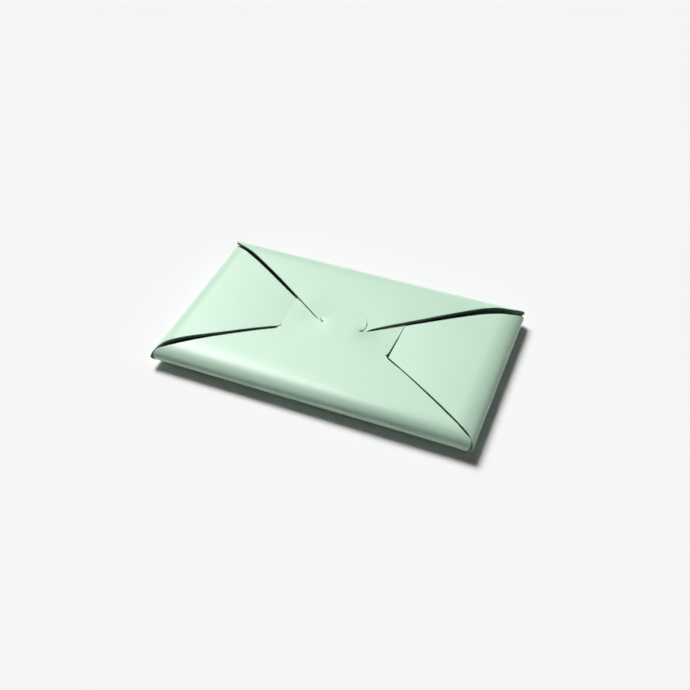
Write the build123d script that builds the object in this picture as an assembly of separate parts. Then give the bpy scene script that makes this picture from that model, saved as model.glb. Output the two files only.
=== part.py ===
from build123d import *
import os
from math import cos, degrees, radians, sin

# Fold-up card holder: one sheet of leather, folded like an envelope and locked by a tongue.
# Millimetres. X runs along the long side, +Y points to the rear flap, +Z up, base on Z = 0.

# Driving dimensions
LENGTH = 105.0
DEPTH = 62.5
LEATHER = 1.0

# Each fold is a half turn of its own outer radius. The flap beyond it is bowed to BOW.
RADIUS = {"front": 3.6, "rear": 3.7, "left": 3.7, "right": 3.6}
BOW = {"front": 520.0, "rear": 400.0, "left": 141.0, "right": 149.0}
TURN = {"front": 0.0, "right": 90.0, "rear": 180.0, "left": 270.0}

# Angles of bend between the foot of a fold, its spine and its flap
FOOT_BEND = 45.0
SPINE_BEND = 135.0

# How far the folds reach towards the corners
LONG_FOOT_END = 49.2
SHORT_FOOT_END = 27.5
LONG_SPINE_END = 51.2
SHORT_SPINE_END = 28.0

# Plan of the flaps: each slanting edge from the corner inwards. The front flap's end at its neck.
FRONT_LEFT_EDGE = [(-51.3, -29.6), (-19.2, -7.8)]
FRONT_RIGHT_EDGE = [(51.3, -29.7), (18.4, -8.4)]
NECK_Y = -8.4
REAR_LEFT_EDGE = [(-51.5, 28.3), (-44.4, 25.0), (-28.6, 14.9), (-8.6, 1.0)]
REAR_RIGHT_EDGE = [(51.5, 28.8), (44.4, 27.5), (31.6, 19.3), (7.7, 0.9)]
LEFT_FRONT_EDGE = [(-51.0, -27.4), (-21.5, -6.0)]
LEFT_REAR_EDGE = [(-51.0, 26.9), (-21.5, 10.0)]
RIGHT_FRONT_EDGE = [(51.0, -28.4), (21.5, -7.7)]
RIGHT_REAR_EDGE = [(51.0, 27.6), (21.5, 12.3)]
SIDE_FLAP_END = 21.5
SIDE_TIP_END = 11.0
SIDE_TIP_HALF_WIDTH = 5.0
GAP = 0.2

# The half-moon slit in the head, and the strip of leather behind it
SLIT_CENTRE = (-0.4, 2.3)
SLIT_RADIUS = 7.7
TONGUE_ROOT_Y = 0.3
REAR_TIP_END_Y = 2.0
LOCK_BAND_END_Y = 13.5

# Heights of the upper face of the parts that pass over and under each other, as (distance, Z)
TONGUE_TOP = [(0.3, 6.45), (2.0, 6.9), (5.0, 7.4), (10.2, 7.9)]
REAR_TIP_TOP = [(2.0, 5.7), (5.0, 6.2), (10.2, 6.7)]
LOCK_BAND_TOP = [(0.0, 5.45), (6.0, 5.6), (13.5, 5.75)]
SIDE_TIP_LOW = [(18.5, 4.35), (15.0, 4.35), (11.0, 4.35)]

HALF = {"front": DEPTH / 2, "rear": DEPTH / 2, "left": LENGTH / 2, "right": LENGTH / 2}
REACH = 60.0
OVERRUN = 1.0


def bent_strip(centre, outer, start, end):
    """Section of leather bent about centre from one angle to another, in the (Y, Z) plane."""

    def point(radius, angle):
        turn = radians(angle)
        return centre[0] + radius * cos(turn), centre[1] + radius * sin(turn)

    middle = (start + end) / 2
    inner = outer - LEATHER
    return make_face(
        [
            ThreePointArc(point(outer, start), point(outer, middle), point(outer, end)),
            Line(point(outer, end), point(inner, end)),
            ThreePointArc(point(inner, end), point(inner, middle), point(inner, start)),
            Line(point(inner, start), point(outer, start)),
        ]
    )


def waved_strip(top):
    """Section of leather whose upper face passes through the points of top."""
    under = [(distance, height - LEATHER) for distance, height in reversed(top)]
    return make_face(
        [Spline(*top), Line(top[-1], under[0]), Spline(*under), Line(under[-1], top[0])]
    )


def swept(section):
    """Run a (Y, Z) section along X, well past both ends of the part."""
    return extrude(Plane.YZ * section, REACH, both=True)


def column(*outline):
    """Upright block over a plan outline."""
    return extrude(make_face(Polyline(*outline, close=True)), 2 * REACH)


def bend(side, start, end):
    """The part of a fold between two angles of bend, as long as the part allows."""
    radius = RADIUS[side]
    centre = (radius - HALF[side], radius)
    section = bent_strip(centre, radius, 270.0 - start, 270.0 - end)
    return Rot(0, 0, TURN[side]) * swept(section)


def blade(side, length):
    """The bowed, flat-lying part of a flap from its crest inwards."""
    radius = RADIUS[side]
    bow = BOW[side]
    centre = (radius - HALF[side], 2 * radius - bow)
    section = bent_strip(centre, bow, 90.0, 90.0 - degrees(length / bow))
    return Rot(0, 0, TURN[side]) * swept(section)


def flap(side, length):
    """Last stretch of a fold with the blade that it turns into."""
    return bend(side, SPINE_BEND, 180.0) + blade(side, length)


def box_plan(x, y):
    """Upright block with its middle on the Z axis, reaching x and y each way."""
    return column((-x, -y), (x, -y), (x, y), (-x, y))


def base_panel():
    """The flat back panel, between the feet of the folds."""
    left = RADIUS["left"] - HALF["left"]
    right = HALF["right"] - RADIUS["right"]
    front = RADIUS["front"] - HALF["front"]
    rear = HALF["rear"] - RADIUS["rear"]
    plate = make_face(Polyline((left, front), (right, front), (right, rear), (left, rear), close=True))
    return extrude(plate, LEATHER)


def foot(side):
    """The start of a fold, curling up off the table."""
    if side in ("front", "rear"):
        limit = box_plan(LONG_FOOT_END, HALF[side] + OVERRUN)
    else:
        limit = box_plan(HALF[side] + OVERRUN, SHORT_FOOT_END)
    return bend(side, 0.0, FOOT_BEND) & limit


def spine(side):
    """The upright middle of a fold."""
    if side in ("front", "rear"):
        limit = box_plan(LONG_SPINE_END, HALF[side] + OVERRUN)
    else:
        limit = box_plan(HALF[side] + OVERRUN, SHORT_SPINE_END)
    return bend(side, FOOT_BEND, SPINE_BEND) & limit


def rear_outline(margin):
    """Plan of the rear flap, grown outwards by margin at its slanting edges."""
    left = [(x - margin, y - margin) for x, y in REAR_LEFT_EDGE]
    right = [(x + margin, y - margin) for x, y in REAR_RIGHT_EDGE]
    return column((left[0][0], REACH), *left, *reversed(right), (right[0][0], REACH))


def slit_disc(radius):
    """Upright cylinder inside the half-moon slit."""
    return Pos(*SLIT_CENTRE, 0) * extrude(Circle(radius), 2 * REACH)


def beyond(y):
    """Everything to the rear of a line across the part."""
    return column((-REACH, y), (REACH, y), (REACH, REACH), (-REACH, REACH))


def head_outline(end_y):
    """Plan of the front flap: wide at its fold, a neck, then the straight-sided head."""
    left, right = FRONT_LEFT_EDGE, FRONT_RIGHT_EDGE
    return column(
        (left[0][0], -REACH),
        (right[0][0], -REACH),
        *right,
        (right[-1][0], end_y),
        (left[-1][0], end_y),
        *reversed(left),
    )


def front_sheet():
    """The front flap as far as the rear flap's edges and the root of the tongue."""
    sheet = flap("front", HALF["front"] + LOCK_BAND_END_Y) & head_outline(LOCK_BAND_END_Y)
    sheet -= rear_outline(GAP)
    return sheet - (slit_disc(SLIT_RADIUS + GAP) & beyond(TONGUE_ROOT_Y))


def tongue():
    """The half-moon, lying on the rear flap's tip."""
    return swept(waved_strip(TONGUE_TOP)) & slit_disc(SLIT_RADIUS) & beyond(TONGUE_ROOT_Y)


def lock_band():
    """The rest of the head, hidden under the rear flap around the slit."""
    strip = swept(waved_strip(LOCK_BAND_TOP)) & head_outline(LOCK_BAND_END_Y) & rear_outline(GAP)
    return strip - slit_disc(SLIT_RADIUS + GAP)


def rear_flap():
    """The rear flap, cut back to the edge of the slit."""
    sheet = flap("rear", HALF["rear"]) & rear_outline(0.0)
    return sheet - slit_disc(SLIT_RADIUS + GAP)


def rear_tip():
    """The tip of the rear flap, under the tongue."""
    strip = swept(waved_strip(REAR_TIP_TOP)) & rear_outline(0.0) & beyond(REAR_TIP_END_Y)
    return strip & slit_disc(SLIT_RADIUS)


def side_outline(front_edge, rear_edge):
    """Plan of a side flap between its two slanting edges."""
    outer = REACH if front_edge[0][0] > 0 else -REACH
    return column(
        (outer, front_edge[0][1]), *front_edge, *reversed(rear_edge), (outer, rear_edge[0][1])
    )


def side_flap(side, front_edge, rear_edge):
    """The visible part of a side flap."""
    sheet = flap(side, HALF[side] - RADIUS[side] - SIDE_FLAP_END)
    return sheet & side_outline(front_edge, rear_edge)


def side_tip(side, front_edge, rear_edge):
    """The end of a side flap, dipping under the head."""
    run = HALF[side] - RADIUS[side] - SIDE_FLAP_END
    start = (SIDE_FLAP_END, 2 * RADIUS[side] - run**2 / (2 * BOW[side]))
    strip = Rot(0, 0, TURN[side] + 180.0) * swept(waved_strip([start, *SIDE_TIP_LOW]))
    way = 1 if side == "right" else -1
    return strip & column(
        front_edge[1],
        rear_edge[1],
        (way * SIDE_TIP_END, SIDE_TIP_HALF_WIDTH),
        (way * SIDE_TIP_END, -SIDE_TIP_HALF_WIDTH),
    )


parts = {"base_panel": base_panel()}
for name in RADIUS:
    parts[name + "_foot"] = foot(name)
    parts[name + "_fold"] = spine(name)
parts["front_flap"] = front_sheet() - beyond(NECK_Y)
parts["head"] = front_sheet() & beyond(NECK_Y)
parts["tongue"] = tongue()
parts["lock_band"] = lock_band()
parts["rear_flap"] = rear_flap()
parts["rear_tip"] = rear_tip()
parts["left_flap"] = side_flap("left", LEFT_FRONT_EDGE, LEFT_REAR_EDGE)
parts["left_tip"] = side_tip("left", LEFT_FRONT_EDGE, LEFT_REAR_EDGE)
parts["right_flap"] = side_flap("right", RIGHT_FRONT_EDGE, RIGHT_REAR_EDGE)
parts["right_tip"] = side_tip("right", RIGHT_FRONT_EDGE, RIGHT_REAR_EDGE)

os.makedirs("parts", exist_ok=True)
for node, shape in parts.items():
    export_step(shape, "parts/" + node + ".step")
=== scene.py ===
import bpy
from math import cos, dist, hypot, pi, radians, sin, sqrt
from mathutils import Matrix, Vector
from mathutils.geometry import delaunay_2d_cdt
from mathutils.kdtree import KDTree


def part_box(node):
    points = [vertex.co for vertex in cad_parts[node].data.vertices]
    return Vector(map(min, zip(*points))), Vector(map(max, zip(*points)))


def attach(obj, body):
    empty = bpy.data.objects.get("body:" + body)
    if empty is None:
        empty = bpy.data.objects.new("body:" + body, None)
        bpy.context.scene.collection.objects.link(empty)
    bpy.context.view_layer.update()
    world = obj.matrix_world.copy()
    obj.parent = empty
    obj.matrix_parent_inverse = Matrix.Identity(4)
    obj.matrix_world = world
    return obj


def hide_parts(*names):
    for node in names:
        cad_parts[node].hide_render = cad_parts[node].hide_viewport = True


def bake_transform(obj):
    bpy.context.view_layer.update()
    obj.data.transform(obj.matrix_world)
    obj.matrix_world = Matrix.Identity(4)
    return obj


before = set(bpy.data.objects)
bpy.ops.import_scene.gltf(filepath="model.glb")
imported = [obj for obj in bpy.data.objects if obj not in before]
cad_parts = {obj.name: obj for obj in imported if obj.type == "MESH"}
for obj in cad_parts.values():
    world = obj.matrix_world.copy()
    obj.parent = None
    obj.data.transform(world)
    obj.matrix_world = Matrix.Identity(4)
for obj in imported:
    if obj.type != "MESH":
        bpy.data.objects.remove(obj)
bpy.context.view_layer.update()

# Fold-up card holder of mint-green leather, its four flaps locked by a half-moon slit, lying on a
# white table. Lengths of the leather are in millimetres until a mesh is made. Those of materials,
# lights and the floor are in metres.
MM = 0.001
LEATHER = 1.0

# The lower half of a fold is a quarter ellipse, FOLD_DEPTH deep. Its upper half is ROUNDING deep,
# from the low to the high end of the fold. The flap beyond it is bowed to BOW.
FOLD_DEPTH = 5.5
ROUNDING = {"front": (10.0, 6.0), "rear": (7.0, 7.0), "left": (7.0, 7.0), "right": (7.0, 7.0)}
ROUNDING_SPAN = (-15.0, 30.0)
HALF_HEIGHT = {"front": 3.6, "rear": 3.7, "left": 3.7, "right": 3.6}
BOW = {"front": 900.0, "rear": 2000.0, "left": 500.0, "right": 500.0}
# How far out each fold reaches, and how far out its flap begins
REACH = {
    "front": -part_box("front_fold")[0].y / MM,
    "rear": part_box("rear_fold")[1].y / MM,
    "left": -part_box("left_fold")[0].x / MM,
    "right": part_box("right_fold")[1].x / MM,
}
CREST = {side: REACH[side] - FOLD_DEPTH for side in REACH}
# Length of leather per radian of the bend
MEAN_RADIUS = {side: sqrt((FOLD_DEPTH**2 + HALF_HEIGHT[side] ** 2) / 2) for side in REACH}
# Whether a flap's width, length and height make a right-handed set of directions
HAND = {"front": 1, "rear": -1, "left": -1, "right": 1}

# The lock: how far a layer stands above the next, where it shows and where it is hidden. A side
# flap goes under the head, down to UNDER_HEAD, at HEAD_AT from the start of the flap.
LAYER = LEATHER + 0.04
TONGUE_STEP = 0.35
REAR_STEP = 0.6
REAR_STEP_SOFTNESS = 0.3
REAR_DIP = 0.25
UNDER_HEAD = 5.2
HEAD_AT = {"left": 27.8, "right": 28.8}

# Stretches over which one height turns into another. HIDDEN is the way past an edge, under it.
DIP_WIDTH = (4.0, 16.0)
DIP_LENGTH = (4.0, 20.0)
LIFT_LENGTH = (-18.0, 1.5)
SHOULDER = (3.5, 14.0)
SHOULDER_SINK = (-8.0, 0.0)
HIDDEN = 1.2

# The half-moon slit, with its ends hooked inwards. The two layers pass through each other's level
# at SLIT_END, where the rear flap's slanting edges begin.
SLIT_CENTRE = (-0.4, 2.0)
SLIT_RADIUS = 7.7
SLIT_END = (7.7, 0.9)
ARC_START = -2.0
TONGUE_ROOT = 0.3
TONGUE_FREE = 3.0
REAR_EDGE_SLOPE = 0.72
KERF = 0.12
HOOK_RADIUS = 1.7
HOOK_TURN = 75.0
HOOK_KERF = 0.4

# Raw edge, as (distance in from the cut, depth below the grain, tilt of the surface)
EDGE = [
    (0.20, 0.00, 0),
    (0.09, 0.03, 35),
    (0.02, 0.11, 65),
    (0.00, 0.25, 90),
    (0.00, 0.80, 90),
    (0.05, 0.94, 125),
    (0.20, 1.00, 180),
]
# The grain's colour wraps over this many strips of the edge.
GRAIN_STRIPS = 2

# Material slots of a piece of leather
GRAIN = 0
CUT = 1
FLESH = 2

# Spacing of the points on outlines and of the grids that fill them, which are finer at the lock
EDGE_STEP = 0.5
NECK_STEP = 0.2
SEAM_STEP = 1.5
FLAP_STEP = 1.4
ROW_STEP = 1.0
BASE_STEP = 1.5
LOCK_STEP = 0.5
LOCK_HALF = 12.3
LOCK_ROWS = (-12.0, 14.0)
GRID_END = {"front": 42.0, "rear": 32.0, "left": 37.5, "right": 37.5}

# Steps in a quarter turn of a fold, of a mitre and of the head's corner, along the arc and the
# hooks of the slit, and across the base
BEND_STEPS = 20
MITRE_STEPS = 16
CORNER_STEPS = 8
ARC_STEPS = 60
HOOK_STEPS = 12
BASE_STEPS = 36

# Least distance from an outline to a grid point, by where the point is
CLEAR_BEND = 0.3
CLEAR_FLAP = 0.35
CLEAR_FOLD = 0.2
CLEAR_BASE = 0.5

# Points of an outline closer than SAME are one point, and in a mesh closer than MERGE. Slopes are
# measured PROBE to each side of a place. SHARPEST_MITRE keeps the inset of a sharp corner short.
SAME = 1e-4
MERGE = 1e-7
PROBE = 0.02
SHARPEST_MITRE = 0.5


def smoothstep(low, high, value):
    """0 up to low, 1 from high on, and an even S between them."""
    share = min(max((value - low) / (high - low), 0.0), 1.0)
    return share * share * (3 - 2 * share)


def mix(first, second, share):
    """The value a share of the way from first to second."""
    return first + (second - first) * share


def smooth_max(first, second, softness):
    """The larger value, rounded off where the two are nearly the same."""
    share = min(max(0.5 + 0.5 * (first - second) / softness, 0.0), 1.0)
    return mix(second, first, share) + softness * share * (1 - share)


# ---------------------------------------------------------------- shape of the folded sheet


def rear_height(x, y):
    """Top of the rear flap: nearly flat, a little lower towards the lock."""
    bowed = 2 * HALF_HEIGHT["rear"] - (CREST["rear"] - y) ** 2 / (2 * BOW["rear"])
    across = 1 - smoothstep(*DIP_WIDTH, abs(x))
    return bowed - REAR_DIP * (1 - smoothstep(*DIP_LENGTH, y)) * across


def inside_slit(x, y):
    """Distance from the arc of the slit, positive towards its middle."""
    return SLIT_RADIUS - hypot(x - SLIT_CENTRE[0], y - SLIT_CENTRE[1])


def rear_top(x, y):
    """Top of the rear flap, with its tip pressed down under the tongue."""
    top = rear_height(x, y)
    low = min(top, tongue_height(x, y) - LAYER)
    return mix(top, low, smoothstep(0.0, HIDDEN, inside_slit(x, y)))


def front_bowed(y):
    """Top of the front flap where nothing presses on it."""
    return 2 * HALF_HEIGHT["front"] - (CREST["front"] + y) ** 2 / (2 * BOW["front"])


def tongue_height(x, y):
    """Top of the middle of the head, rising to stand above the rear flap."""
    raised = rear_height(x, y) + TONGUE_STEP
    return mix(front_bowed(y), raised, smoothstep(*LIFT_LENGTH, y))


def past_rear_edge(x, y):
    """Distance behind the rear flap's slanting edge, across Y."""
    return y - SLIT_END[1] - REAR_EDGE_SLOPE * max(abs(x) - SLIT_END[0], 0.0)


def shoulder_height(x, y):
    """Top of the head beside the slit: a step below the rear flap's edge, then under it."""
    rear = rear_height(x, y)
    shown = -smooth_max(-front_bowed(y), REAR_STEP - rear, REAR_STEP_SOFTNESS)
    hidden = min(shown, rear - LAYER)
    past = past_rear_edge(x, y)
    top = mix(front_bowed(y), shown, smoothstep(*SHOULDER_SINK, past))
    return mix(top, hidden, smoothstep(0.0, HIDDEN, past))


def front_height(x, y, in_tongue):
    """Top of the front flap: the tongue or the middle of the head, blending into its shoulders."""
    share = smoothstep(*SHOULDER, abs(x))
    past_root = smoothstep(TONGUE_ROOT, TONGUE_FREE, y)
    if in_tongue:
        share *= 1 - past_root
    else:
        share = 1 - (1 - share) * (1 - past_root)
    return mix(tongue_height(x, y), shoulder_height(x, y), share)


def side_height(side, distance):
    """Top of a side flap, diving where it slides under the head."""
    bowed = 2 * HALF_HEIGHT[side] - distance**2 / (2 * BOW[side])
    return mix(bowed, UNDER_HEAD, smoothstep(0.0, HIDDEN, distance - HEAD_AT[side]))


def is_tongue(side, along, distance):
    """True for a point of the front flap that lies inside the slit."""
    y = distance - CREST["front"]
    inside = hypot(along - SLIT_CENTRE[0], y - SLIT_CENTRE[1]) < SLIT_RADIUS
    return side == "front" and inside and y > TONGUE_ROOT


def place(side, along, out, up):
    """Point from a place along a fold, a distance out from the middle and a height."""
    if side in ("front", "rear"):
        return Vector((along, -out if side == "front" else out, up))
    return Vector((-out if side == "left" else out, along, up))


def rounding(side, along, out):
    """How far the grain side has come down from a flap's level on its way round the fold."""
    depth = mix(*ROUNDING[side], smoothstep(*ROUNDING_SPAN, along))
    share = min(max(1 - (REACH[side] - out) / depth, 0.0), 1.0)
    return HALF_HEIGHT[side] * (1 - sqrt(1 - share * share))


def fold_point(side, along, turned):
    """Outer face of a fold at an angle of bend: 0 at its foot, pi where its flap begins."""
    out = CREST[side] + FOLD_DEPTH * sin(turned)
    if turned < pi / 2:
        height = HALF_HEIGHT[side] * (1 - cos(turned))
    else:
        height = 2 * HALF_HEIGHT[side] - rounding(side, along, out)
    return place(side, along, out, height)


def sheet_point(side, along, distance, in_tongue):
    """Grain side of a flap. distance is measured inwards from the end of its fold."""
    if distance < 0:
        return fold_point(side, along, pi + distance / MEAN_RADIUS[side])
    out = CREST[side] - distance
    if side == "front":
        height = front_height(along, -out, in_tongue)
    elif side == "rear":
        height = rear_top(along, out)
    else:
        height = side_height(side, distance)
    return place(side, along, out, height - rounding(side, along, out))


def flap_frame(side):
    """Function from a flat place on a flap to its point, its normal and its two directions."""

    def at(flat):
        along, distance = flat
        in_tongue = is_tongue(side, along, distance)
        point = sheet_point(side, along, distance, in_tongue)
        across = sheet_point(side, along + PROBE, distance, in_tongue)
        across -= sheet_point(side, along - PROBE, distance, in_tongue)
        inward = sheet_point(side, along, distance + PROBE, in_tongue)
        inward -= sheet_point(side, along, distance - PROBE, in_tongue)
        normal = across.cross(inward).normalized() * HAND[side]
        return point, normal, across.normalized(), inward.normalized()

    return at


def base_frame(flat):
    """The same for the base panel, whose grain side lies on the table."""
    x, y = flat
    return Vector((x, y, 0)), Vector((0, 0, -1)), Vector((1, 0, 0)), Vector((0, 1, 0))


# ---------------------------------------------------------------- flat outlines


def spline(p, q, r, s, t):
    """Catmull-Rom value, a share t of the way from q to r."""
    line = (r - p) * t
    square = (2 * p - 5 * q + 4 * r - s) * t**2
    cube = (3 * q - p - 3 * r + s) * t**3
    return 0.5 * (2 * q + line + square + cube)


def curve_through(points, step=EDGE_STEP):
    """Smooth path through points."""
    before = tuple(2 * a - b for a, b in zip(points[0], points[1]))
    after = tuple(2 * a - b for a, b in zip(points[-1], points[-2]))
    knots = [before, *points, after]
    path = []
    for four in zip(knots, knots[1:], knots[2:], knots[3:]):
        count = max(1, round(dist(four[1], four[2]) / step))
        for i in range(count):
            path.append(tuple(spline(*places, i / count) for places in zip(*four)))
    return path + [points[-1]]


def straight(start, end, step):
    """Evenly spaced points on a line, both ends included."""
    count = max(1, round(dist(start, end) / step))
    return [tuple(mix(a, b, i / count) for a, b in zip(start, end)) for i in range(count + 1)]


def joined(*paths):
    """One loop of paths that follow each other, without doubled points."""
    loop = []
    for path in paths:
        for point in path:
            if not loop or dist(loop[-1], point) > SAME:
                loop.append(point)
    if dist(loop[0], loop[-1]) < SAME:
        loop.pop()
    return loop


def loop_area(loop):
    """Area of a loop, positive where the loop is anticlockwise."""
    return sum(a[0] * b[1] - a[1] * b[0] for a, b in zip(loop, loop[1:] + loop[:1])) / 2


def turned_left(loop):
    """The loop, anticlockwise."""
    return loop if loop_area(loop) > 0 else loop[::-1]


def outwards(loop, seams):
    """Direction out of an anticlockwise loop at each point: none on a seam, along it at its ends."""
    found = []
    for before, here, after in zip(loop[-1:] + loop[:-1], loop, loop[1:] + loop[:1]):
        sides = []
        for start, end in ((before, here), (here, after)):
            run = Vector(end) - Vector(start)
            if not on_seam(start, end, seams):
                sides.append(Vector((run.y, -run.x)).normalized())
        if len(sides) == 2:
            out = (sides[0] + sides[1]).normalized()
            out /= max(out.dot(sides[0]), SHARPEST_MITRE)
            found.append(out)
        elif len(sides) == 1:
            found.append(Vector((1.0 if sides[0].x > 0 else -1.0, 0.0)))
        else:
            found.append(Vector((0.0, 0.0)))
    return found


def on_seam(start, end, seams):
    """Whether a stretch of outline lies on a line where two pieces meet."""
    return any(abs(start[1] - seam) < SAME and abs(end[1] - seam) < SAME for seam in seams)


# ---------------------------------------------------------------- meshes


def grid(loop, step_along, rows):
    """Flat points that fill a loop's width, on rows at given distances."""
    low = min(point[0] for point in loop)
    high = max(point[0] for point in loop)
    count = max(1, round((high - low) / step_along))
    return [(mix(low, high, i / count), row) for row in rows for i in range(1, count)]


def filled(loops, inner, clear):
    """Flat points and triangles over the first loop, less the holes. clear says how near to a
    loop an inner point may be."""
    corners = [point for loop in loops for point in loop]
    tree = KDTree(len(corners))
    for i, point in enumerate(corners):
        tree.insert((*point, 0), i)
    tree.balance()
    free = [point for point in inner if tree.find((*point, 0))[2] > clear(point)]
    points = [Vector(point) for point in corners + free]
    edges = []
    start = 0
    for loop in loops:
        count = len(loop)
        edges += [(start + i, start + (i + 1) % count) for i in range(count)]
        start += count
    found, _, triangles, _, _, _ = delaunay_2d_cdt(points, edges, [], 1, MERGE)
    if len(found) != len(points):
        raise ValueError("a leather outline crosses itself")
    holes = loops[1:]
    kept = []
    for triangle in triangles:
        middle = sum((found[i] for i in triangle), Vector((0, 0))) / 3
        if not any(inside(hole, middle) for hole in holes):
            kept.append(tuple(triangle))
    return [tuple(point) for point in found], kept


def inside(loop, point):
    """Whether a point is inside a loop."""
    odd = False
    for a, b in zip(loop, loop[1:] + loop[:1]):
        if (a[1] > point[1]) != (b[1] > point[1]):
            crossing = a[0] + (point[1] - a[1]) / (b[1] - a[1]) * (b[0] - a[0])
            odd ^= point[0] < crossing
    return odd


def inset_loops(loops, outs, inset):
    """The loops, moved into the leather."""
    return [
        [tuple(Vector(flat) - out * inset) for flat, out in zip(loop, row)]
        for loop, row in zip(loops, outs)
    ]


def edge_row(loop, outs, depth, tilt, at):
    """Bent points and normals of one level of a raw edge."""
    points, normals = [], []
    for flat, out in zip(loop, outs):
        point, normal, across, inward = at(flat)
        away = across * out.x + inward * out.y
        away -= normal * away.dot(normal)
        away.normalize()
        points.append(point - normal * depth)
        normals.append((normal * cos(radians(tilt)) + away * sin(radians(tilt))).normalized())
    return points, normals


def edge_faces(rows, backwards):
    """Faces between the levels of a raw edge, and their material slots."""
    faces, slots = [], []
    count = len(rows[0])
    for strip, (upper, lower) in enumerate(zip(rows, rows[1:])):
        for i in range(count):
            j = (i + 1) % count
            quad = (upper[i], lower[i], lower[j], upper[j])
            faces.append(quad[::-1] if backwards else quad)
            slots.append(GRAIN if strip < GRAIN_STRIPS else CUT)
    return faces, slots


def leather_mesh(name, loops, seams, inner, clear, at):
    """Sheet of leather with rounded raw edges. at bends a flat point into its place."""
    outs = [outwards(loop, seams) for loop in loops]
    for hole in outs[1:]:
        for out in hole:
            out.negate()
    flat, triangles = filled(inset_loops(loops, outs, EDGE[0][0]), inner, clear)
    frames = [at(point) for point in flat]
    _, normal, across, inward = frames[0]
    flip = normal.dot(across.cross(inward)) < 0
    vertices = [point for point, _, _, _ in frames]
    vertices += [point - normal * LEATHER for point, normal, _, _ in frames]
    normals = [normal for _, normal, _, _ in frames]
    normals += [-normal for _, normal, _, _ in frames]
    faces, slots = [], []
    for triangle in triangles:
        grain = triangle[::-1] if flip else triangle
        faces += [grain, tuple(i + len(flat) for i in reversed(grain))]
        slots += [GRAIN, FLESH]
    first = 0
    for number, loop in enumerate(loops):
        rows = [list(range(first, first + len(loop)))]
        for inset, depth, tilt in EDGE[1:-1]:
            level = inset_loops([loop], [outs[number]], inset)[0]
            points, slants = edge_row(level, outs[number], depth, tilt, at)
            rows.append(list(range(len(vertices), len(vertices) + len(loop))))
            vertices += points
            normals += slants
        rows.append([len(flat) + i for i in rows[0]])
        strips, strip_slots = edge_faces(rows, (number > 0) != flip)
        faces += strips
        slots += strip_slots
        first += len(loop)
    return add_mesh(name, vertices, normals, faces, slots)


def add_mesh(name, vertices, normals, faces, slots):
    """Mesh object with its own normals, in metres."""
    mesh = bpy.data.meshes.new(name)
    mesh.from_pydata([vertex * MM for vertex in vertices], [], faces)
    for material in LEATHER_MATERIALS:
        mesh.materials.append(material)
    mesh.polygons.foreach_set("material_index", slots)
    mesh.polygons.foreach_set("use_smooth", [True] * len(faces))
    mesh.update()
    mesh.normals_split_custom_set_from_vertices([tuple(normal) for normal in normals])
    obj = bpy.data.objects.new(name, mesh)
    bpy.context.collection.objects.link(obj)
    return obj


def declare_cut(loops):
    """Work out a piece's width, length and area as cut. Nothing is done with them."""
    width, length = ((max(places) - min(places)) * MM for places in zip(*loops[0]))
    area = (loop_area(loops[0]) - sum(loop_area(hole) for hole in loops[1:])) * MM**2


# ---------------------------------------------------------------- the cut pattern


def foot(side):
    """Sheet distance of the foot of a fold, where it leaves the base panel."""
    return -pi * MEAN_RADIUS[side]


def seam(side):
    """Sheet distance of the outermost line of a fold."""
    return -pi * MEAN_RADIUS[side] / 2


# Outlines of the flaps as (place along the fold, distance): the round corner at the fold's low
# end, which starts on the fold's outermost line, and the slanting edge from there to the neck or
# the tip, then the same at its high end.
FLAP_EDGES = {
    "front": (
        [(-51.3, seam("front")), (-51.6, -5.4), (-51.2, -3.5), (-49.0, -2.0)],
        [(-49.0, -2.0), (-44.5, 0.7), (-35.6, 7.15), (-26.4, 13.35), (-19.5, 17.65)],
        [(51.3, seam("front")), (51.7, -5.4), (51.2, -3.6), (49.2, -2.25)],
        [(49.2, -2.25), (45.1, 0.4), (36.0, 6.55), (26.3, 12.85), (18.5, 17.4)],
    ),
    "rear": (
        [(-51.9, seam("rear")), (-52.3, -4.6), (-52.0, -2.8), (-50.2, -1.6)],
        [(-50.2, -1.6), (-44.4, 0.8), (-37.9, 4.75), (-28.6, 10.9), (-16.9, 19.1), (-8.5, 25.1)],
        [(51.7, seam("rear")), (52.1, -5.4), (50.5, -3.7), (48.2, -2.6)],
        [(48.2, -2.6), (44.4, -1.6), (41.0, 0.1), (37.8, 2.1), (31.6, 6.5), (22.6, 13.3),
         (10.8, 22.15), (7.9, 24.9)],
    ),
    "left": (
        [(-31.6, seam("left")), (-29.6, -5.0), (-27.2, -3.0), (-25.2, -0.7)],
        [(-25.2, -0.7), (-22.01, 3.66), (-15.98, 12.97), (-9.81, 22.21), (-4.03, 31.92)],
        [(30.0, seam("left")), (27.6, -4.6), (25.6, -1.8), (23.19, 2.6)],
        [(23.19, 2.6), (19.52, 8.93), (11.95, 20.89), (6.7, 29.47), (5.17, 31.92)],
    ),
    "right": (
        [(-31.1, seam("right")), (-29.6, -5.0), (-27.8, -2.6), (-26.32, -0.4)],
        [(-26.32, -0.4), (-20.19, 8.47), (-13.92, 18.08), (-7.37, 28.4), (-5.68, 31.15)],
        [(29.8, seam("right")), (28.1, -4.7), (25.8, -1.2), (24.6, 1.85)],
        [(24.6, 1.85), (21.54, 8.27), (13.6, 20.74), (7.14, 31.15)],
    ),
}

# The cut for a fold starts this far inside the corner of the base panel.
CORNER_NOTCH = 0.5
NEIGHBOUR = {"front": "left", "rear": "left", "left": "front", "right": "front"}


def fold_ends(side):
    """The two ends of the lower half of a fold, low then high, mitred from the base's corners."""
    corner = CREST[NEIGHBOUR[side]] - CORNER_NOTCH
    turns = [pi / 2 * i / MITRE_STEPS for i in range(MITRE_STEPS + 1)]
    ends = []
    for edge in (FLAP_EDGES[side][0], FLAP_EDGES[side][2]):
        end = edge[0][0]
        way = 1 if end > 0 else -1
        ends.append(
            [
                (mix(way * corner, end, sin(turned)), foot(side) + MEAN_RADIUS[side] * turned)
                for turned in turns
            ]
        )
    return ends


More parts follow.
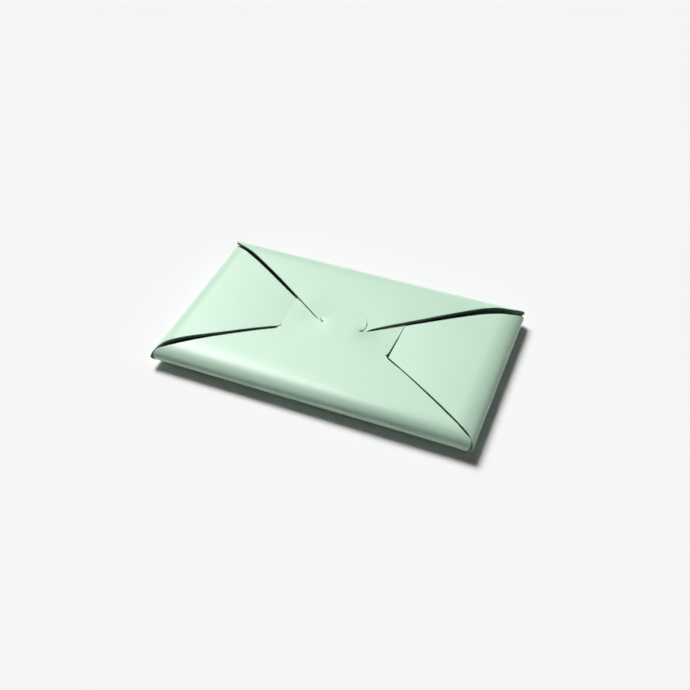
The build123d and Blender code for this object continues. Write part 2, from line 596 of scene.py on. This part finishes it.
# From the neck to the straight side of the head, with the small round stop cut into the neck
NECK_RIGHT = [(18.5, 17.4), (18.0, 18.1), (17.6, 18.6), (17.5, 19.0), (17.8, 19.3), (17.98, 20.0)]
NECK_LEFT = [(-19.5, 17.65), (-19.15, 18.6), (-18.7, 19.2), (-18.6, 19.7), (-18.95, 20.1),
             (-19.2, 20.8)]
HEAD_SIDE_RIGHT = [(17.98, 20.0), (18.16, 26.0), (18.35, 32.7), (18.4, 36.5)]
HEAD_SIDE_LEFT = [(-19.2, 20.8), (-19.3, 26.0), (-19.4, 32.7), (-19.4, 36.5)]
HEAD_END = 39.5
HEAD_CORNER = 3.0

# Ends of the rear flap, under the tongue, and of the side flaps, under the head
REAR_TIP_RIGHT = [(7.1, 26.2), (6.3, 27.8), (3.8, 29.4), (-0.4, 29.9)]
REAR_TIP_LEFT = [(-0.4, 29.9), (-4.6, 29.4), (-7.2, 27.8), (-8.0, 26.2)]
SIDE_TIP_ROUND = 1.6


def head_and_neck():
    """The front flap between its two slanting edges: the neck's stop cuts and the head."""
    right = joined(curve_through(NECK_RIGHT, NECK_STEP), curve_through(HEAD_SIDE_RIGHT))
    left = joined(curve_through(NECK_LEFT, NECK_STEP), curve_through(HEAD_SIDE_LEFT))
    middle = HEAD_END - HEAD_CORNER
    turns = [radians(90 * i / CORNER_STEPS) for i in range(CORNER_STEPS + 1)]
    for points, way in ((right, 1), (left, -1)):
        inner = way * (abs(points[-1][0]) - HEAD_CORNER)
        points += [
            (inner + way * HEAD_CORNER * cos(angle), middle + HEAD_CORNER * sin(angle))
            for angle in turns
        ]
    return joined(right, left[::-1])


def slit_loop():
    """Outline of the half-moon slit, with its ends hooked inwards."""
    cx, cy = SLIT_CENTRE
    cy += CREST["front"]
    start = radians(ARC_START)
    turn = radians(HOOK_TURN)
    hook_x = cx + (SLIT_RADIUS - HOOK_RADIUS) * cos(start)
    hook_y = cy + (SLIT_RADIUS - HOOK_RADIUS) * sin(start)
    line = []
    for i in range(HOOK_STEPS):
        angle = start - turn * (1 - i / HOOK_STEPS)
        line.append((hook_x + HOOK_RADIUS * cos(angle), hook_y + HOOK_RADIUS * sin(angle), angle))
    for i in range(ARC_STEPS + 1):
        angle = mix(start, pi / 2, i / ARC_STEPS)
        line.append((cx + SLIT_RADIUS * cos(angle), cy + SLIT_RADIUS * sin(angle), angle))
    line += [(2 * cx - x, y, pi - angle) for x, y, angle in reversed(line[:-1])]
    outer, inner = [], []
    for i, (x, y, angle) in enumerate(line):
        from_end = min(i, len(line) - 1 - i)
        half = mix(HOOK_KERF, KERF, smoothstep(0, HOOK_STEPS, from_end)) / 2
        outer.append((x + half * cos(angle), y + half * sin(angle)))
        inner.append((x - half * cos(angle), y - half * sin(angle)))
    return outer + inner[::-1]


def rear_tip():
    """End of the rear flap, from its high edge to its low edge."""
    right = [FLAP_EDGES["rear"][3][-1], *REAR_TIP_RIGHT]
    left = [*REAR_TIP_LEFT, FLAP_EDGES["rear"][1][-1]]
    return joined(curve_through(right), curve_through(left))


def side_tip(side):
    """Rounded end of a side flap, from its high edge to its low edge."""
    low = FLAP_EDGES[side][1][-1]
    high = FLAP_EDGES[side][3][-1]
    middle = ((low[0] + high[0]) / 2, low[1] + SIDE_TIP_ROUND)
    return curve_through([high, middle, low])


def upper_rows(side, end):
    """Distances of the grid rows of a flap: close together around the bend."""
    step = 90 / BEND_STEPS
    bend_rows = [-MEAN_RADIUS[side] * radians(90 - step * i) for i in range(1, BEND_STEPS)]
    count = round(end / ROW_STEP)
    return bend_rows + [end * i / count for i in range(count + 1)]


def flap_loop(side, tip):
    """Outline of a flap, anticlockwise, from its two edges and its tip."""
    low_fold, low_edge, high_fold, high_edge = FLAP_EDGES[side]
    low = joined(curve_through(low_fold), curve_through(low_edge))
    high = joined(curve_through(high_fold), curve_through(high_edge))
    seam_line = straight(low_fold[0], high_fold[0], SEAM_STEP)
    return turned_left(joined(seam_line, high, tip, low[::-1]))


def flap_grid(side, loop):
    """Points that fill a flap, close together where the layers cross at the lock."""
    points = grid(loop, FLAP_STEP, upper_rows(side, GRID_END[side]))
    if side in ("left", "right"):
        return points
    middle = CREST[side]
    count = round((LOCK_ROWS[1] - LOCK_ROWS[0]) / LOCK_STEP) + 1
    rows = [middle + LOCK_ROWS[0] + LOCK_STEP * i for i in range(count)]
    around = [p for p in points if abs(p[0]) > LOCK_HALF or abs(p[1] - middle) > LOCK_HALF]
    return around + grid([(-LOCK_HALF, 0), (LOCK_HALF, 0)], LOCK_STEP, rows)


def flap_piece(side):
    """A flap from the outermost line of its fold to its tip."""
    holes = []
    if side == "front":
        tip = head_and_neck()
        holes = [turned_left(slit_loop())]
    elif side == "rear":
        tip = rear_tip()
    else:
        tip = side_tip(side)

    def clear(point):
        return CLEAR_BEND if point[1] < 0 else CLEAR_FLAP

    loop = flap_loop(side, tip)
    loops = [loop, *holes]
    inner = flap_grid(side, loop)
    obj = leather_mesh(side + "_leather", loops, [seam(side)], inner, clear, flap_frame(side))
    declare_cut(loops)
    return obj


def fold_piece(side):
    """The lower half of a fold, from the base panel to its outermost line."""
    low, high = fold_ends(side)
    foot_line = straight(low[0], high[0], SEAM_STEP)
    seam_line = straight(low[-1], high[-1], SEAM_STEP)
    loop = turned_left(joined(foot_line, high, seam_line[::-1], low[::-1]))
    width = seam(side) - foot(side)
    rows = [foot(side) + width * i / BEND_STEPS for i in range(1, BEND_STEPS)]
    inner = grid(loop, FLAP_STEP, rows)
    seams = [foot(side), seam(side)]

    def clear(point):
        return CLEAR_FOLD

    return leather_mesh(side + "_fold_lower", [loop], seams, inner, clear, flap_frame(side))


def base_piece():
    """The back panel, between the feet of the four folds, which go with it."""
    left, right = -CREST["left"], CREST["right"]
    front, rear = -CREST["front"], CREST["rear"]
    corners = [(left, front), (right, front), (right, rear), (left, rear), (left, front)]
    loop = joined(*(straight(a, b, SEAM_STEP) for a, b in zip(corners, corners[1:])))
    rows = [mix(front, rear, i / BASE_STEPS) for i in range(1, BASE_STEPS)]
    inner = grid(loop, BASE_STEP, rows)

    def clear(point):
        return CLEAR_BASE

    obj = leather_mesh("base_leather", [loop], [], inner, clear, base_frame)
    declare_cut([loop])
    return obj


# ---------------------------------------------------------------- materials

# The part of a noise's range that a colour ramp uses
NOISE_SPAN = (0.3, 0.7)


def new_material(name, colour, roughness):
    """Material, its node tree and its shader. Textures may take the place of the colour."""
    material = bpy.data.materials.new(name)
    material.use_nodes = True
    shader = material.node_tree.nodes["Principled BSDF"]
    shader.inputs["Base Color"].default_value = (*colour, 1)
    shader.inputs["Roughness"].default_value = roughness
    return material, material.node_tree, shader


def noise(tree, scale, detail, roughness=0.5):
    """3-D noise in object coordinates. scale is in features per metre."""
    coordinates = tree.nodes.new("ShaderNodeTexCoord")
    texture = tree.nodes.new("ShaderNodeTexNoise")
    texture.inputs["Scale"].default_value = scale
    texture.inputs["Detail"].default_value = detail
    texture.inputs["Roughness"].default_value = roughness
    tree.links.new(coordinates.outputs["Object"], texture.inputs["Vector"])
    return texture.outputs["Fac"]


def ramp(tree, source, low, high):
    """Colour that goes from low to high with a noise."""
    node = tree.nodes.new("ShaderNodeValToRGB")
    for element, position, colour in zip(node.color_ramp.elements, NOISE_SPAN, (low, high)):
        element.position = position
        element.color = (*colour, 1)
    tree.links.new(source, node.inputs["Fac"])
    return node.outputs["Color"]


def bump(tree, source, strength, distance, below=None):
    """Normal of a relief, on top of the relief below."""
    node = tree.nodes.new("ShaderNodeBump")
    node.inputs["Strength"].default_value = strength
    node.inputs["Distance"].default_value = distance
    tree.links.new(source, node.inputs["Height"])
    if below is not None:
        tree.links.new(below, node.inputs["Normal"])
    return node.outputs["Normal"]


def mint_leather():
    """Smooth pigmented grain: faint cloudy tone, very fine pores, soft gloss."""
    material, tree, shader = new_material("mint_leather", (0.45, 0.62, 0.49), 0.4)
    shader.inputs["Specular IOR Level"].default_value = 0.3
    shader.inputs["Coat Weight"].default_value = 0.35
    shader.inputs["Coat Roughness"].default_value = 0.3
    cloud = noise(tree, scale=45, detail=3)
    colour = ramp(tree, cloud, (0.47, 0.66, 0.512), (0.485, 0.68, 0.53))
    tree.links.new(colour, shader.inputs["Base Color"])
    waves = noise(tree, scale=260, detail=2)
    pores = noise(tree, scale=2600, detail=4, roughness=0.6)
    slow = bump(tree, waves, strength=0.12, distance=0.0004)
    fine = bump(tree, pores, strength=0.10, distance=0.00006, below=slow)
    tree.links.new(fine, shader.inputs["Normal"])
    return material


def cut_edge():
    """Raw cut edge: fibrous grey-green core."""
    material, tree, shader = new_material("cut_edge", (0.2, 0.26, 0.21), 0.8)
    shader.inputs["Specular IOR Level"].default_value = 0.25
    fibre = noise(tree, scale=2200, detail=5, roughness=0.7)
    colour = ramp(tree, fibre, (0.13, 0.17, 0.14), (0.30, 0.36, 0.31))
    tree.links.new(colour, shader.inputs["Base Color"])
    tree.links.new(bump(tree, fibre, strength=0.5, distance=0.00008), shader.inputs["Normal"])
    return material


def flesh_side():
    """Flesh side: fine grey-green nap."""
    material, tree, shader = new_material("flesh_side", (0.25, 0.33, 0.28), 0.95)
    shader.inputs["Specular IOR Level"].default_value = 0.1
    shader.inputs["Sheen Weight"].default_value = 0.3
    nap = noise(tree, scale=1500, detail=6, roughness=0.7)
    colour = ramp(tree, nap, (0.20, 0.27, 0.22), (0.33, 0.42, 0.36))
    tree.links.new(colour, shader.inputs["Base Color"])
    tree.links.new(bump(tree, nap, strength=0.6, distance=0.0001), shader.inputs["Normal"])
    return material


# ---------------------------------------------------------------- stage

FLOOR_REACH = 3.0
FLOOR_COLOUR = (0.82, 0.82, 0.82)

# The camera's angles in degrees, what it looks at and how far away it is
AZIMUTH = 22.24
ELEVATION = 43.42
ROLL = -0.45
TARGET = Vector((1.17, -0.59, 0))
AWAY = 292.9
LENS = 47.13
SENSOR = 36
NEAREST = 0.01


def floor():
    """White table top."""
    corners = [(-1, -1), (1, -1), (1, 1), (-1, 1)]
    mesh = bpy.data.meshes.new("floor")
    mesh.from_pydata([(x * FLOOR_REACH, y * FLOOR_REACH, 0) for x, y in corners], [], [(0, 1, 2, 3)])
    material, _, shader = new_material("floor", FLOOR_COLOUR, 0.9)
    shader.inputs["Specular IOR Level"].default_value = 0.0
    mesh.materials.append(material)
    obj = bpy.data.objects.new("floor", mesh)
    bpy.context.collection.objects.link(obj)


def sky(strength):
    """Even white light from all round."""
    world = bpy.data.worlds.new("sky")
    world.use_nodes = True
    background = world.node_tree.nodes["Background"]
    background.inputs["Color"].default_value = (1, 1, 1, 1)
    background.inputs["Strength"].default_value = strength
    bpy.context.scene.world = world


def towards(azimuth, elevation):
    """Direction measured from -X towards +Y, and up."""
    a, e = radians(azimuth), radians(elevation)
    return Vector((-cos(a) * cos(e), sin(a) * cos(e), sin(e)))


def sun(name, azimuth, elevation, spread, strength):
    """Soft light from far away."""
    light = bpy.data.lights.new(name, "SUN")
    light.energy = strength
    light.angle = radians(spread)
    obj = bpy.data.objects.new(name, light)
    obj.rotation_mode = "QUATERNION"
    obj.rotation_quaternion = towards(azimuth, elevation).to_track_quat("Z", "Y")
    bpy.context.collection.objects.link(obj)
    return obj


def softbox(azimuth, elevation, width, height, power):
    """Box that only shows as a highlight."""
    light = bpy.data.lights.new("softbox", "AREA")
    light.shape = "RECTANGLE"
    light.size = width
    light.size_y = height
    light.energy = power
    obj = bpy.data.objects.new("softbox", light)
    obj.rotation_mode = "QUATERNION"
    obj.rotation_quaternion = towards(azimuth, elevation).to_track_quat("Z", "Y")
    obj.location = towards(azimuth, elevation)
    obj.visible_diffuse = False
    bpy.context.collection.objects.link(obj)


def camera():
    """Camera at the photographed viewing angle."""
    azimuth, elevation, roll = radians(AZIMUTH), radians(ELEVATION), radians(ROLL)
    back = Vector((sin(azimuth) * cos(elevation), -cos(azimuth) * cos(elevation), sin(elevation)))
    right = Vector((cos(azimuth), sin(azimuth), 0))
    up = back.cross(right)
    right, up = cos(roll) * right + sin(roll) * up, cos(roll) * up - sin(roll) * right
    data = bpy.data.cameras.new("camera")
    data.lens = LENS
    data.sensor_width = SENSOR
    data.clip_start = NEAREST
    obj = bpy.data.objects.new("camera", data)
    matrix = Matrix((right, up, back)).transposed().to_4x4()
    matrix.translation = (TARGET + back * AWAY) * MM
    obj.matrix_world = matrix
    bpy.context.collection.objects.link(obj)
    bpy.context.scene.camera = obj


# ---------------------------------------------------------------- assembly

LEATHER_MATERIALS = [mint_leather(), cut_edge(), flesh_side()]
REPLACED = {
    "front": ("front_flap", "head", "tongue", "lock_band"),
    "rear": ("rear_flap", "rear_tip"),
    "left": ("left_flap", "left_tip"),
    "right": ("right_flap", "right_tip"),
}


def assemble():
    """Make the nine pieces, hide the CAD parts that they take the place of, and tie the base panel
    to the base body.
    """
    for side in HALF_HEIGHT:
        foot_at, out_at, crest_at = (fold_point(side, 0, turned) * MM for turned in (0, pi / 2, pi))
        lower = fold_piece(side)
        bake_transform(lower)
        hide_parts(side + "_foot", side + "_fold")
        upper = flap_piece(side)
        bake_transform(upper)
        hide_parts(*REPLACED[side])
    panel = base_piece()
    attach(panel, "base")
    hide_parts("base_panel")


assemble()
floor()
sky(strength=0.07)
key = sun("key", azimuth=43, elevation=47, spread=22, strength=4.5)
key.visible_glossy = False
sheen = sun("sheen", azimuth=53, elevation=43, spread=26, strength=0.77)
sheen.visible_diffuse = False
softbox(azimuth=30, elevation=57, width=0.22, height=0.45, power=8.5)
camera()
bpy.context.scene.view_settings.view_transform = "Standard"
